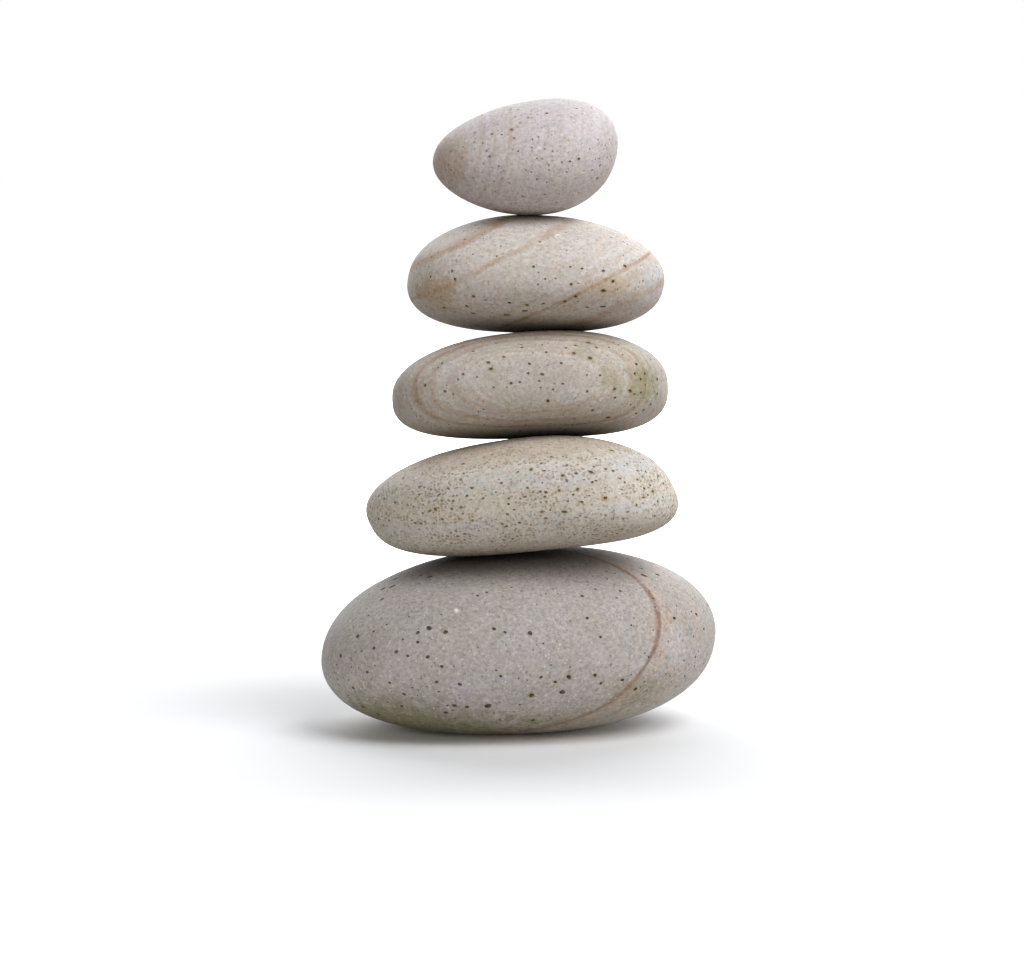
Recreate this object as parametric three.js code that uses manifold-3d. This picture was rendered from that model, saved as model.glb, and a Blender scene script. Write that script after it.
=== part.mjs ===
// A stone cairn: five water-worn pebbles balanced in one stack, the largest at the bottom.
// Millimetres, +Z up, with the near side of the stack towards -Y.
// The origin is on the ground, under the middle of the stack.
import * as THREE from "three";
import { mergeVertices } from "three/addons/utils/BufferGeometryUtils.js";
import Module from "manifold-3d";

const wasm = await Module();
wasm.setup();

// Driving dimensions that all the stones share.
const CONTACT_GAP = 0.1; // clearance left where one stone rests on the next
const SEAT_WEAR = 1.4; // how much of the lowest stone's belly is worn flat where it stands
const ARCH_FALL = 0.5; // how fast the bow dies away front to back, against end to end
const FAR_PIT_DIAMETERS = [1.3, 2.1]; // the smallest and largest pit on the sides away from the viewer
const GOLDEN_ANGLE = Math.PI * (3 - Math.sqrt(5));

// One entry for each stone, from the ground up.
//   length, depth, thickness  the stone's own size along X, Y and Z
//   fullness, planFullness    of the outline and of the plan: 2 is an ellipse, more is squarer
//   bow                       how far the middle arches above the ends
//   taper, heel               shares by which the right end and the far side are thicker than the middle
//   lean                      sideways shift for each unit of height
//   skew                      backward shift for each unit to the right
//   tilt, pitch               degrees: right end up, far side up
//   across, back              the stone's centre, from the middle of the lowest stone
//   facets                    how finely each face of an icosahedron is divided
//   pits                      [across, up, diameter] on the near face, from the stone's centre
//   farPits                   how many pits the far side has
const STONES = [
  {
    name: "base_stone",
    colour: 0xaca49d,
    length: 120.2,
    depth: 98,
    thickness: 55.8,
    fullness: 2.19,
    planFullness: 2.3,
    bow: 1.9,
    taper: 0.008,
    heel: 0,
    lean: 0.19,
    skew: 0.1,
    tilt: 0,
    pitch: 0,
    across: 0,
    back: 0,
    facets: 8,
    pits: [
      [-53.6, 1.2, 1.7],
      [-48.4, 7.4, 1.7],
      [-43.5, 9.4, 1.4],
      [-38.6, 20.5, 1.7],
      [-36.5, 4.3, 1.4],
      [-27.2, 3.3, 1.4],
      [-26.9, 11.4, 2],
      [-27, 23.9, 1.6],
      [-23, 0.6, 1.4],
      [-21.9, 10.5, 1.7],
      [-19.3, -11.5, 1.6],
      [-9.4, -11.6, 2.2],
      [3, 10.3, 1.6],
      [3.5, -8.3, 1.7],
      [12.6, -7.6, 1.9],
      [14.5, -2.9, 1.6],
      [30.5, -4.7, 1.4],
      [46.4, 12, 1.4],
    ],
    farPits: 10,
  },
  {
    name: "second_stone",
    colour: 0xb9afa1,
    length: 92.9,
    depth: 75,
    thickness: 33.6,
    fullness: 2.54,
    planFullness: 2.4,
    bow: 3.2,
    taper: 0.103,
    heel: -0.18,
    lean: -0.34,
    skew: -0.12,
    tilt: 7.75,
    pitch: -5.5,
    across: 0.4,
    back: -4,
    facets: 7,
    pits: [
      [-39.9, 1, 1.4],
      [-29.6, 7.6, 1.4],
      [-25.4, 2.6, 1.6],
      [-20.5, 2.1, 1.4],
      [-4.3, -1.7, 1.4],
      [-3.3, 2.9, 1.4],
      [4.4, 10.5, 1.5],
      [13.4, 7.5, 1.4],
      [12.4, -3.2, 1.5],
      [15, 10.3, 1.4],
      [17.2, 2.9, 1.4],
      [21.8, 7.4, 1.6],
      [25, -0.8, 1.6],
      [28.4, 6.8, 1.5],
      [39.4, -0.9, 1.5],
    ],
    farPits: 8,
  },
  {
    name: "third_stone",
    colour: 0xb3a698,
    length: 84.5,
    depth: 68,
    thickness: 31.9,
    fullness: 2.52,
    planFullness: 2.4,
    bow: 2.7,
    taper: 0.057,
    heel: -0.06,
    lean: 0.02,
    skew: 0.09,
    tilt: 3,
    pitch: -9,
    across: 3.3,
    back: 2.5,
    facets: 7,
    pits: [
      [-31.5, 2.2, 1.4],
      [-12.3, 7.7, 1.5],
      [3.5, 3.2, 1.5],
      [4.9, -4.7, 1.4],
      [13.4, 9.3, 1.6],
      [18, 12.7, 1.5],
      [18.1, 7.6, 1.5],
      [18.1, -7.8, 1.4],
      [20.8, 2.3, 1.4],
      [22.7, -9.9, 1.5],
      [25, -1.9, 1.4],
      [29.7, -2.5, 1.6],
      [33.1, 1.2, 1.4],
      [38.4, 1.5, 1.4],
    ],
    farPits: 6,
  },
  {
    name: "fourth_stone",
    colour: 0xbfb5aa,
    length: 77.9,
    depth: 64,
    thickness: 35.4,
    fullness: 2.3,
    planFullness: 2.35,
    bow: 2.7,
    taper: -0.06,
    heel: 0.15,
    lean: 0.15,
    skew: -0.08,
    tilt: -2.75,
    pitch: -4.5,
    across: 4.8,
    back: 4,
    facets: 7,
    pits: [
      [-24.1, -1, 1.4],
      [-20.2, -8.8, 1.4],
      [-18.2, -10.8, 1.5],
      [-8.1, -10.8, 1.6],
      [-2.8, -9.4, 1.5],
      [2.6, -7, 1.3],
      [20.4, -7, 1.6],
      [20.3, -2.4, 1.5],
      [19.9, 3.5, 1.3],
      [26.4, 5.4, 1.3],
    ],
    farPits: 6,
  },
  {
    name: "top_stone",
    colour: 0xbdb4b0,
    length: 55.8,
    depth: 46,
    thickness: 34.5,
    fullness: 2.11,
    planFullness: 2.25,
    bow: -0.45,
    taper: 0.198,
    heel: 0,
    lean: 0.19,
    skew: 0.06,
    tilt: 0.75,
    pitch: -1,
    across: 1.7,
    back: 3,
    facets: 6,
    pits: [
      [-8, -3, 1.2],
      [-4, 7.9, 1.3],
      [4, 5.6, 1.2],
      [6.6, 12.7, 1.2],
      [16, -1.1, 1.2],
      [21.6, -7, 1.4],
    ],
    farPits: 4,
  },
];

// The point of a stone's skin that lies in a unit direction from its centre.
function skinPoint(stone, direction) {
  const { fullness, planFullness, bow, taper, heel, lean, skew } = stone;
  const outline = Math.abs(direction.x) ** fullness + Math.abs(direction.z) ** fullness;
  const plan = outline ** (planFullness / fullness) + Math.abs(direction.y) ** planFullness;
  const reach = plan ** (-1 / planFullness);
  const along = reach * direction.x;
  const wedge = 1 + taper * along;
  const through = reach * direction.y * wedge;
  const arch = bow * (1 - along ** 2 - ARCH_FALL * through ** 2);
  const up = (stone.thickness / 2) * reach * direction.z * (wedge + heel * reach * direction.y) + arch;
  const across = (stone.length / 2) * along + lean * up;
  return new THREE.Vector3(across, (stone.depth / 2) * through + skew * across, up);
}

// A closed solid as manifold-3d holds it, from a three.js geometry.
function solidOf(geometry) {
  const bare = geometry.clone();
  bare.deleteAttribute("normal");
  bare.deleteAttribute("uv");
  const merged = mergeVertices(bare);
  return new wasm.Manifold(
    new wasm.Mesh({
      numProp: 3,
      vertProperties: merged.attributes.position.array,
      triVerts: new Uint32Array(merged.index.array),
    }),
  );
}

// A three.js geometry, from a solid as manifold-3d holds it.
function geometryOf(solid) {
  const { vertProperties, triVerts } = solid.getMesh();
  const geometry = new THREE.BufferGeometry();
  geometry.setAttribute("position", new THREE.BufferAttribute(vertProperties, 3));
  geometry.setIndex(new THREE.BufferAttribute(triVerts, 1));
  return geometry;
}

// The smooth pebble, before any pit: an icosphere pushed out to the stone's skin.
function pebbleGeometry(stone) {
  const geometry = new THREE.IcosahedronGeometry(1, stone.facets);
  const position = geometry.attributes.position;
  const direction = new THREE.Vector3();
  for (let i = 0; i < position.count; i++) {
    direction.fromBufferAttribute(position, i).normalize();
    position.setXYZ(i, ...skinPoint(stone, direction));
  }
  return geometry;
}

// The places of a stone's pits: those listed for the near face, then the far side's in a spiral.
function pitPlaces(stone, pebble) {
  const mesh = new THREE.Mesh(pebble);
  const inwards = new THREE.Vector3(0, 1, 0);
  const near = stone.pits.map(([across, up, diameter]) => {
    const eye = new THREE.Vector3(across, -stone.depth, up);
    const hit = new THREE.Raycaster(eye, inwards).intersectObject(mesh)[0];
    return { centre: hit.point, diameter };
  });
  const [smallest, largest] = FAR_PIT_DIAMETERS;
  const far = Array.from({ length: stone.farPits }, (_, i) => {
    const y = (i + 0.5) / stone.farPits;
    const ring = Math.sqrt(1 - y * y);
    const turn = i * GOLDEN_ANGLE;
    const direction = new THREE.Vector3(ring * Math.cos(turn), y, ring * Math.sin(turn));
    const diameter = THREE.MathUtils.lerp(smallest, largest, turn % 1);
    return { centre: skinPoint(stone, direction), diameter };
  });
  return [...near, ...far];
}

// The solid pebble with its pits cut in, each by a small angular ball centred on the skin.
function pittedPebble(stone) {
  const pebble = pebbleGeometry(stone);
  return pitPlaces(stone, pebble).reduce((solid, { centre, diameter }, i) => {
    const ball = new THREE.IcosahedronGeometry(diameter / 2, 0);
    ball.rotateZ(i * GOLDEN_ANGLE);
    ball.rotateX(i);
    ball.translate(...centre);
    return solid.subtract(solidOf(ball));
  }, solidOf(pebble));
}

// The lowest stone's solid, cut off level where it stands.
function wornLevel(solid, stone) {
  const [, , lowest] = solid.boundingBox().min;
  const ground = new THREE.BoxGeometry(2 * stone.length, 2 * stone.depth, stone.thickness);
  ground.translate(0, 0, lowest + SEAT_WEAR - stone.thickness / 2);
  return solid.subtract(solidOf(ground));
}

// A named stone at its place across and back, turned as it lies; its height is set when it is stacked.
function stoneMesh(stone, solid) {
  const material = new THREE.MeshStandardMaterial({ color: stone.colour, roughness: 0.9, metalness: 0 });
  const mesh = new THREE.Mesh(geometryOf(solid), material);
  mesh.name = stone.name;
  mesh.rotation.set(THREE.MathUtils.degToRad(stone.pitch), THREE.MathUtils.degToRad(-stone.tilt), 0);
  mesh.position.set(stone.across, stone.back, 0);
  mesh.updateMatrixWorld();
  return mesh;
}

// The smallest distance straight along a direction from the corners of one mesh to the faces of another.
function clearance(from, to, direction) {
  const position = from.geometry.attributes.position;
  const ray = new THREE.Raycaster();
  const corner = new THREE.Vector3();
  let least = Infinity;
  for (let i = 0; i < position.count; i++) {
    corner.fromBufferAttribute(position, i).applyMatrix4(from.matrixWorld);
    ray.set(corner, direction);
    const [hit] = ray.intersectObject(to);
    if (hit) least = Math.min(least, hit.distance);
  }
  return least;
}

// Lowers a stone onto the one below it, from well above, until they all but touch.
function restOn(lower, upper) {
  const below = new THREE.Box3().setFromObject(lower);
  const above = new THREE.Box3().setFromObject(upper);
  upper.position.z += below.max.z - above.min.z + CONTACT_GAP;
  upper.updateMatrixWorld();
  const drop = Math.min(
    clearance(upper, lower, new THREE.Vector3(0, 0, -1)),
    clearance(lower, upper, new THREE.Vector3(0, 0, 1)),
  );
  upper.position.z -= drop - CONTACT_GAP;
  upper.updateMatrixWorld();
}

const stack = new THREE.Group();
STONES.forEach((stone, i) => {
  const solid = pittedPebble(stone);
  const mesh = stoneMesh(stone, i === 0 ? wornLevel(solid, stone) : solid);
  if (i > 0) restOn(stack.children[i - 1], mesh);
  stack.add(mesh);
});

// The stack is moved so that the origin is on the ground, under the middle of its box.
const box = new THREE.Box3().setFromObject(stack);
stack.position.set(-(box.min.x + box.max.x) / 2, -(box.min.y + box.max.y) / 2, -box.min.z);

const cairn = new THREE.Group();
cairn.name = "cairn";
cairn.add(stack);
export default cairn;
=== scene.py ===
"""A stone cairn: five water-worn pebbles balanced in one stack, in a plain pale studio."""

import logging
import math
from dataclasses import dataclass, field
from enum import Enum
from typing import Callable, Optional, Sequence, Union

import bpy
import numpy as np
from mathutils import Euler, Matrix, Vector
from mathutils.bvhtree import BVHTree


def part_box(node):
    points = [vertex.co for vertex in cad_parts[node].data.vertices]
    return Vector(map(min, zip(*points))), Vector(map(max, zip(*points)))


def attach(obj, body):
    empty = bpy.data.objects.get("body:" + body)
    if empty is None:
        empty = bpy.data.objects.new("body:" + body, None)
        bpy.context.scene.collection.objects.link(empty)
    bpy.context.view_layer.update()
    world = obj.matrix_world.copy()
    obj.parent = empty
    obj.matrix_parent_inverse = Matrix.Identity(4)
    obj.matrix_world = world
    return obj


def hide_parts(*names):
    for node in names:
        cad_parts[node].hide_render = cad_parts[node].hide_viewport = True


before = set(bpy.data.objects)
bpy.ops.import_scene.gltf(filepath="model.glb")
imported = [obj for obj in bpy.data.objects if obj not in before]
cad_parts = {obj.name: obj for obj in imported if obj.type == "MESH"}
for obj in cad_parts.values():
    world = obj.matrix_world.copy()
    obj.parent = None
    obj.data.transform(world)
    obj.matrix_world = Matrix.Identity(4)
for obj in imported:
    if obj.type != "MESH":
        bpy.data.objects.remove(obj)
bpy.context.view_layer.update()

LOG = logging.getLogger("cairn")
MM = 0.001
# How fast a pebble's arch falls off towards its front and back, and how often its ball is divided.
ARCH_FALL = 0.5
FINENESS = 7
# A height far under every stone, for those that aren't worn level by the ground.
NO_GROUND = -1.0
WHITE = (1.0, 1.0, 1.0, 1.0)
DAYLIGHT = (0.975, 1.0, 1.04)
WARM_BOUNCE = (1.035, 1.0, 0.935)

Colour = tuple[float, float, float]
Triple = tuple[float, float, float]
Feed = Union["Field", bpy.types.NodeSocket, bpy.types.ID, Sequence[float], float, int, bool, str, None]


def linear(colour: Colour) -> tuple[float, float, float, float]:
    """A colour as the eye names it, from 0 to 255, made into a shader's linear red, green, blue and alpha."""
    parts = [c / 255 for c in colour]
    return (*[p / 12.92 if p <= 0.04045 else ((p + 0.055) / 1.055) ** 2.4 for p in parts], 1.0)


class Field:
    """A number or vector that varies over a surface, with ordinary arithmetic on its numbers."""

    def __init__(self, graph: "Graph", socket: bpy.types.NodeSocket) -> None:
        """Keeps the socket that gives the value."""
        self.graph = graph
        self.socket = socket

    def __add__(self, other: Feed) -> "Field":
        """The sum."""
        return self.graph.math("ADD", self, other)

    def __sub__(self, other: Feed) -> "Field":
        """The difference."""
        return self.graph.math("SUBTRACT", self, other)

    def __rsub__(self, other: Feed) -> "Field":
        """The difference, with this value taken away."""
        return self.graph.math("SUBTRACT", other, self)

    def __mul__(self, other: Feed) -> "Field":
        """The product."""
        return self.graph.math("MULTIPLY", self, other)

    def __truediv__(self, other: Feed) -> "Field":
        """The quotient."""
        return self.graph.math("DIVIDE", self, other)

    def __rtruediv__(self, other: Feed) -> "Field":
        """The quotient, with this value as divisor."""
        return self.graph.math("DIVIDE", other, self)

    def __pow__(self, other: Feed) -> "Field":
        """The power."""
        return self.graph.math("POWER", self, other)

    def __abs__(self) -> "Field":
        """The size without its sign."""
        return self.graph.math("ABSOLUTE", self)

    __radd__ = __add__
    __rmul__ = __mul__


class Graph:
    """Adds nodes to one tree and joins them."""

    def __init__(self, tree: bpy.types.NodeTree) -> None:
        """Starts from an emptied tree."""
        self.tree = tree
        tree.nodes.clear()

    def feed(self, socket: bpy.types.NodeSocket, value: Feed) -> None:
        """Joins a value to an input, or sets it there.

        Args:
            socket: the input.
            value: what goes in; an input is left as it is for None.
        """
        if isinstance(value, Field):
            value = value.socket
        if isinstance(value, bpy.types.NodeSocket):
            self.tree.links.new(value, socket)
        elif value is not None:
            socket.default_value = value

    def node(
        self, kind: str, feeds: Optional[dict[Union[int, str], Feed]] = None, **settings: object
    ) -> bpy.types.Node:
        """Adds a node.

        Args:
            kind: the node's type.
            feeds: what goes into its inputs, by name or by place in the list.
            **settings: the node's own options.

        Returns:
            The new node.
        """
        made = self.tree.nodes.new(kind)
        for name, value in settings.items():
            setattr(made, name, value)
        for key, value in (feeds or {}).items():
            self.feed(made.inputs[key], value)
        return made

    def field(
        self,
        kind: str,
        feeds: Optional[dict[Union[int, str], Feed]] = None,
        output: Union[int, str] = 0,
        **settings: object,
    ) -> Field:
        """Adds a node and gives one of its outputs.

        Args:
            kind: the node's type.
            feeds: what goes into its inputs, by name or by place in the list.
            output: which output to give, by name or by place in the list.
            **settings: the node's own options.

        Returns:
            The chosen output.
        """
        return Field(self, self.node(kind, feeds, **settings).outputs[output])

    def math(self, operation: str, *values: Feed) -> Field:
        """Arithmetic on numbers, by the operation's name."""
        return self.field("ShaderNodeMath", dict(enumerate(values)), operation=operation)

    def vector(self, operation: str, *values: Feed, output: int = 0) -> Field:
        """Arithmetic on vectors, by the operation's name."""
        return self.field("ShaderNodeVectorMath", dict(enumerate(values)), output, operation=operation)

    def scaled(self, vector: Feed, factor: Feed) -> Field:
        """A vector times a number."""
        return self.field("ShaderNodeVectorMath", {0: vector, "Scale": factor}, operation="SCALE")

    def split(self, vector: Feed) -> tuple[Field, Field, Field]:
        """The three numbers of a vector."""
        made = self.node("ShaderNodeSeparateXYZ", {0: vector})
        return tuple(Field(self, out) for out in made.outputs)

    def join(self, x: Feed, y: Feed, z: Feed) -> Field:
        """A vector from three numbers."""
        return self.field("ShaderNodeCombineXYZ", {0: x, 1: y, 2: z})

    def ramp(self, value: Feed, low: Feed, high: Feed, start: Feed = 0.0, end: Feed = 1.0) -> Field:
        """A smooth step from start to end as a value goes from low to high."""
        feeds = {"Value": value, "From Min": low, "From Max": high, "To Min": start, "To Max": end}
        return self.field("ShaderNodeMapRange", feeds, interpolation_type="SMOOTHSTEP")

    def noise(self, vector: Feed, scale: Feed = 1.0, detail: float = 2.0, roughness: float = 0.5) -> Field:
        """Soft noise from 0 to 1, with lumps about 1 / scale across."""
        feeds = {"Vector": vector, "Scale": scale, "Detail": detail, "Roughness": roughness}
        return self.field("ShaderNodeTexNoise", feeds)

    def mix(self, share: Feed, one: Feed, other: Feed, blend: str = "MIX") -> Field:
        """Two colours mixed, by the blend's name."""
        feeds = {0: share, 6: one, 7: other}
        return self.field("ShaderNodeMix", feeds, 2, data_type="RGBA", blend_type=blend)


@dataclass(frozen=True)
class Socket:
    """A named input or output of a node tree."""

    name: str
    kind: str = "NodeSocketFloat"
    default: Feed = None

    def open_on(self, tree: bpy.types.NodeTree, side: str) -> None:
        """Adds the socket to a tree.

        Args:
            tree: the tree.
            side: INPUT or OUTPUT.
        """
        made = tree.interface.new_socket(self.name, in_out=side, socket_type=self.kind)
        if self.default is not None:
            made.default_value = self.default


class ShaderGroups:
    """The effects that several stones' materials share, each built once as a shader node group."""

    def __init__(self) -> None:
        """Builds every group."""
        grains = ("Tone", "Warmth", "Dark Grains", "Pale Grains", "Height")
        mask = ("Mask",)
        self.grain = self.make("sand_grain", (), ("Grain",), grains, self.draw_grain)
        self.bedding = self.make(
            "bedding", ("Direction",), ("Spacing", "Waviness"), ("Depth", "Band"), self.draw_bedding
        )
        self.vein = self.make("vein", (), ("Depth", "Offset", "Width", "Breaks"), mask, self.draw_vein)
        self.stain = self.make("stain", ("Centre", "Reach"), ("Raggedness",), mask, self.draw_stain)
        self.speckle = self.make("speckle", ("Size", "Streak"), ("Share",), mask, self.draw_speckle)
        self.mottle = self.make("mottle", (), ("Size",), ("Cloud",), self.draw_mottle)

    @staticmethod
    def make(
        name: str,
        vectors: Sequence[str],
        numbers: Sequence[str],
        outputs: Sequence[str],
        draw: Callable[[Graph, dict[str, Field]], dict[str, Field]],
    ) -> bpy.types.NodeTree:
        """Builds one group, which reads a position and whatever else it needs.

        Args:
            name: what the group is called.
            vectors: its inputs besides the position that are vectors.
            numbers: its inputs that are numbers.
            outputs: its outputs, all of them numbers.
            draw: makes the nodes, from the inputs by name to the outputs by name.

        Returns:
            The group.
        """
        tree = bpy.data.node_groups.new(name, "ShaderNodeTree")
        graph = Graph(tree)
        inputs = [Socket(each, "NodeSocketVector") for each in ("Position", *vectors)]
        inputs += [Socket(each) for each in numbers]
        for socket in inputs:
            socket.open_on(tree, "INPUT")
        for each in outputs:
            Socket(each).open_on(tree, "OUTPUT")
        entry = graph.node("NodeGroupInput")
        given = {socket.name: Field(graph, entry.outputs[socket.name]) for socket in inputs}
        graph.node("NodeGroupOutput", draw(graph, given))
        return tree

    @staticmethod
    def draw_grain(g: Graph, given: dict[str, Field]) -> dict[str, Field]:
        """Packed sand grains, each of its own tone, with some dark and some pale ones.

        Args:
            g: the group's nodes.
            given: its inputs, by name.

        Returns:
            Its outputs, by name.
        """
        spot = g.scaled(given["Position"], 1 / given["Grain"])
        cells = g.node("ShaderNodeTexVoronoi", {"Vector": spot, "Scale": 1.0})
        own, warmth, _ = g.split(Field(g, cells.outputs["Color"]))
        clumps = g.noise(spot, scale=0.55, detail=3.0, roughness=0.7)
        tone = (own - 0.5) + (clumps - 0.5) * 3.0
        sparse = g.node("ShaderNodeTexVoronoi", {"Vector": spot, "Scale": 0.7})
        near = g.ramp(Field(g, sparse.outputs["Distance"]), 0.15, 0.45, 1.0, 0.0)
        pick, other, _ = g.split(Field(g, sparse.outputs["Color"]))
        dark = near * g.ramp(pick, 0.8, 0.95)
        pale = near * g.ramp(other, 0.8, 0.95)
        height = g.ramp(Field(g, cells.outputs["Distance"]), 0.0, 0.7, 1.0, 0.0) + (clumps - 0.5) - dark
        grains = {"Dark Grains": dark, "Pale Grains": pale}
        return {"Tone": tone, "Warmth": warmth - 0.5, **grains, "Height": height}

    @staticmethod
    def draw_bedding(g: Graph, given: dict[str, Field]) -> dict[str, Field]:
        """The layers in which the sand was laid down: a depth across them, and a band that comes and goes.

        Args:
            g: the group's nodes.
            given: its inputs, by name.

        Returns:
            Its outputs, by name.
        """
        bend = (g.noise(given["Position"], scale=0.035, detail=1.0) - 0.5) * 2.0 * given["Waviness"]
        depth = g.vector("DOT_PRODUCT", given["Position"], given["Direction"], output=1) + bend
        feeds = {"W": depth / given["Spacing"], "Scale": 1.0, "Detail": 2.0, "Roughness": 0.6}
        band = g.field("ShaderNodeTexNoise", feeds, noise_dimensions="1D")
        return {"Depth": depth, "Band": g.ramp(band, 0.3, 0.7)}

    @staticmethod
    def draw_vein(g: Graph, given: dict[str, Field]) -> dict[str, Field]:
        """One thin stained layer, which fades and thickens along its run.

        Args:
            g: the group's nodes.
            given: its inputs, by name.

        Returns:
            Its outputs, by name.
        """
        swell = g.noise(given["Position"], scale=0.12)
        width = given["Width"] * g.ramp(swell, 0.25, 0.75, 0.55, 1.45)
        core = g.ramp(abs(given["Depth"] - given["Offset"]) / width, 0.15, 1.0, 1.0, 0.0)
        broken = g.ramp(g.noise(given["Position"], scale=0.2), 0.62, 0.38)
        whole = 1 - given["Breaks"] * broken
        return {"Mask": core * whole}

    @staticmethod
    def draw_stain(g: Graph, given: dict[str, Field]) -> dict[str, Field]:
        """A ragged patch round a centre.

        Args:
            g: the group's nodes.
            given: its inputs, by name.

        Returns:
            Its outputs, by name.
        """
        offset = g.vector("SUBTRACT", given["Position"], given["Centre"])
        far = g.vector("LENGTH", g.vector("DIVIDE", offset, given["Reach"]), output=1)
        bays = (g.noise(given["Position"], scale=0.35, detail=3.0) - 0.5) * 2.0 * given["Raggedness"]
        return {"Mask": g.ramp(far + bays, 0.25, 1.0, 1.0, 0.0)}

    @staticmethod
    def draw_speckle(g: Graph, given: dict[str, Field]) -> dict[str, Field]:
        """Stained grains, thick in some streaks and thin in others.

        Args:
            g: the group's nodes.
            given: its inputs, by name.

        Returns:
            Its outputs, by name.
        """
        spot = g.vector("DIVIDE", given["Position"], given["Size"])
        cells = g.node("ShaderNodeTexVoronoi", {"Vector": spot, "Scale": 1.0})
        pick, _, _ = g.split(Field(g, cells.outputs["Color"]))
        streaks = g.noise(g.vector("DIVIDE", given["Position"], given["Streak"]))
        least = 1 - given["Share"] * g.ramp(streaks, 0.35, 0.65, 0.15, 1.0)
        stained = g.ramp(pick, least, least + 0.12)
        return {"Mask": g.ramp(Field(g, cells.outputs["Distance"]), 0.2, 0.6, 1.0, 0.0) * stained}

    @staticmethod
    def draw_mottle(g: Graph, given: dict[str, Field]) -> dict[str, Field]:
        """Broad soft clouds."""
        cloud = g.noise(given["Position"], scale=1 / given["Size"], detail=3.0, roughness=0.55)
        return {"Cloud": cloud}


class Lining(Enum):
    """What a pit is lined with: how much rust and how much moss."""

    DARK = (0.1, 0.05)
    RUST = (1.0, 0.0)
    MOSS = (0.1, 1.0)


@dataclass(frozen=True)
class Pit:
    """One pit on the near face of a stone, in millimetres from the stone's centre."""

    lining: Lining
    across: float
    up: float
    diameter: float
    stretch: float = 1.15

    @classmethod
    def lined(cls, lining: Lining, *spots: tuple[float, ...]) -> tuple["Pit", ...]:
        """Pits of one lining, each from its across, up, diameter and sometimes stretch."""
        return tuple(cls(lining, *spot) for spot in spots)


@dataclass(frozen=True)
class PitScatter:
    """How the pits that have no place of their own are strewn over a stone, in millimetres."""

    coarse_density: float
    fine_density: float
    coarse_diameters: tuple[float, float] = (0.9, 1.9)
    fine_diameters: tuple[float, float] = (0.4, 0.8)
    belt: float = 100.0
    streak: Triple = (10.0, 10.0, 10.0)
    clumping: float = 0.4
    rust: float = 0.35
    moss: float = 0.1
    seed: int = 1


@dataclass(frozen=True)
class PebbleForm:
    """The rule of a pebble's shape, in millimetres and degrees, in its own frame."""

    length: float
    depth: float
    thickness: float
    fullness: float
    plan_fullness: float
    bow: float
    taper: float
    heel: float
    lean: float
    skew: float
    tilt: float
    pitch: float
    swell: float = 0.25
    swell_size: float = 26.0

    def turn(self) -> Matrix:
        """How the stone lies: the right end up by tilt, then the far side up by pitch."""
        angles = (math.radians(self.pitch), math.radians(-self.tilt), 0.0)
        return Euler(angles, "YXZ").to_matrix().to_4x4()


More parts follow.
